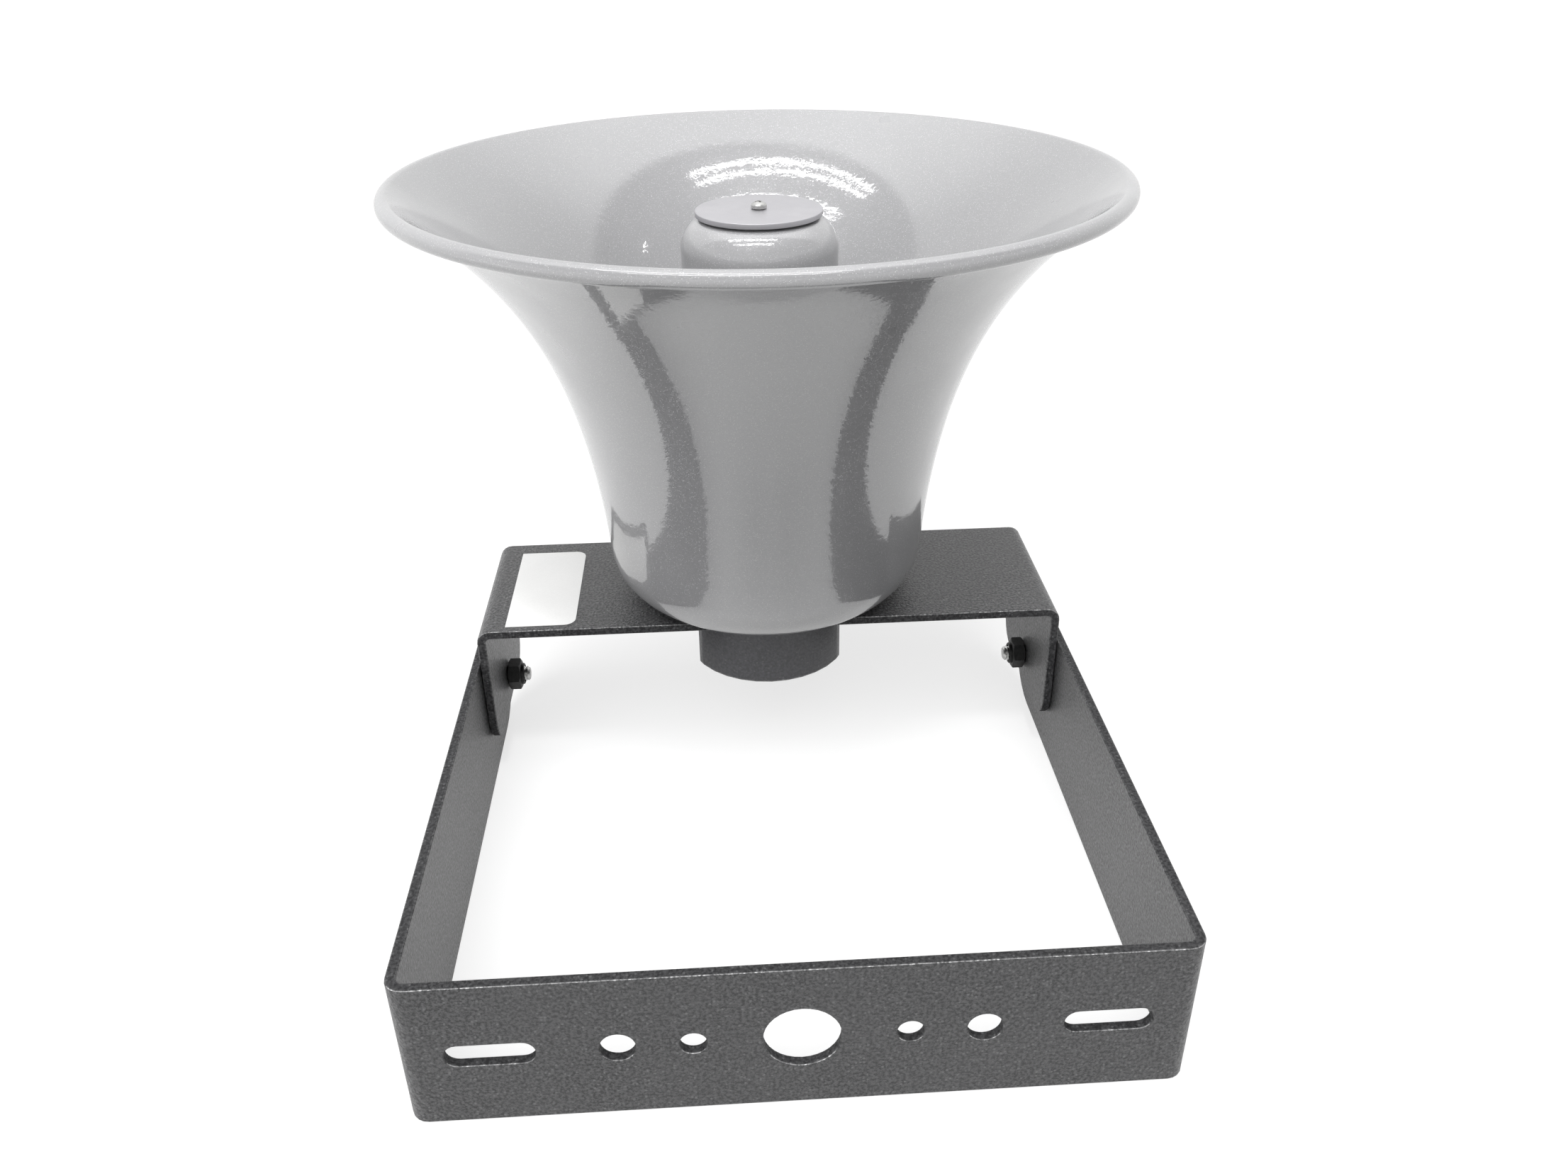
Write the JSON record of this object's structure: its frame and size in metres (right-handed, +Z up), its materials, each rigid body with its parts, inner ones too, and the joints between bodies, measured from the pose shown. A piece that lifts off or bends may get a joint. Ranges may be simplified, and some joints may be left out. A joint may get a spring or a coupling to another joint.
{
  "type": "horn loudspeaker",
  "caption": "Re-entrant paging horn with a flared round mouth, a central bullet and a small driver, tilting on a yoke in a U-shaped wall bracket.",
  "frame": {"origin": "middle of the footprint on the floor: halfway from the base plate's outer face to the back of the mouth, at the bracket's lower edge", "axes": "+X along the tilt axis, +Y from the base plate towards the arms' ends, +Z up, the way the mouth faces at rest"},
  "size_m": [0.254, 0.3238, 0.2263],
  "materials": {
    "grey_enamel": "gloss enamel with fine metal flecks",
    "charcoal_coat": "fine sand-textured powder coat",
    "black_steel": "black oxide",
    "zinc_steel": "zinc plate",
    "cast_alloy": "satin",
    "black_rubber": "matt",
    "black_plastic": "moulded",
    "ferrite": "ground ceramic",
    "amber_film": "resin-set fabric",
    "copper": "enamelled winding",
    "brass": "turned"
  },
  "bodies": {
    "bracket": {"mounting_bracket": "charcoal_coat", "pivot_bolt_left": "zinc_steel", "pivot_bolt_right": "zinc_steel", "pivot_washer_left": "zinc_steel", "pivot_washer_right": "zinc_steel", "lock_nut_left": "black_steel", "lock_nut_right": "black_steel"},
    "horn": {"horn_yoke": "charcoal_coat", "bell": "grey_enamel", "flange_gasket": "black_rubber", "throat_tube": "cast_alloy", "reflector_spider": "cast_alloy", "reflector_bullet": "grey_enamel", "cap_disc": "cast_alloy", "cap_screw": "zinc_steel", "driver_gasket": "black_rubber", "driver_housing": "charcoal_coat", "phase_plug": "black_plastic", "clamp_ring": "cast_alloy", "top_plate": "zinc_steel", "magnet_ring": "ferrite", "pole_piece": "zinc_steel", "back_cover": "black_plastic", "retaining_ring": "black_steel", "terminal_bush_left": "black_plastic", "terminal_bush_right": "black_plastic", "terminal_screw_left": "brass", "terminal_screw_right": "brass"},
    "moving_coil": {"diaphragm": "amber_film", "voice_coil": "copper"}
  },
  "joints": [
    {"name": "horn_tilt", "type": "hinge", "parent": "bracket", "child": "horn", "pos_m": [0, 0.03493, 0.0265], "axis": [1, 0, 0], "range_deg": [-228, 48]},
    {"name": "coil_travel", "type": "slide", "parent": "horn", "child": "moving_coil", "axis": [0, 0, 1], "range_m": [-0.0004, 0.0004], "stiffness_N_per_m": 9000}
  ]
}
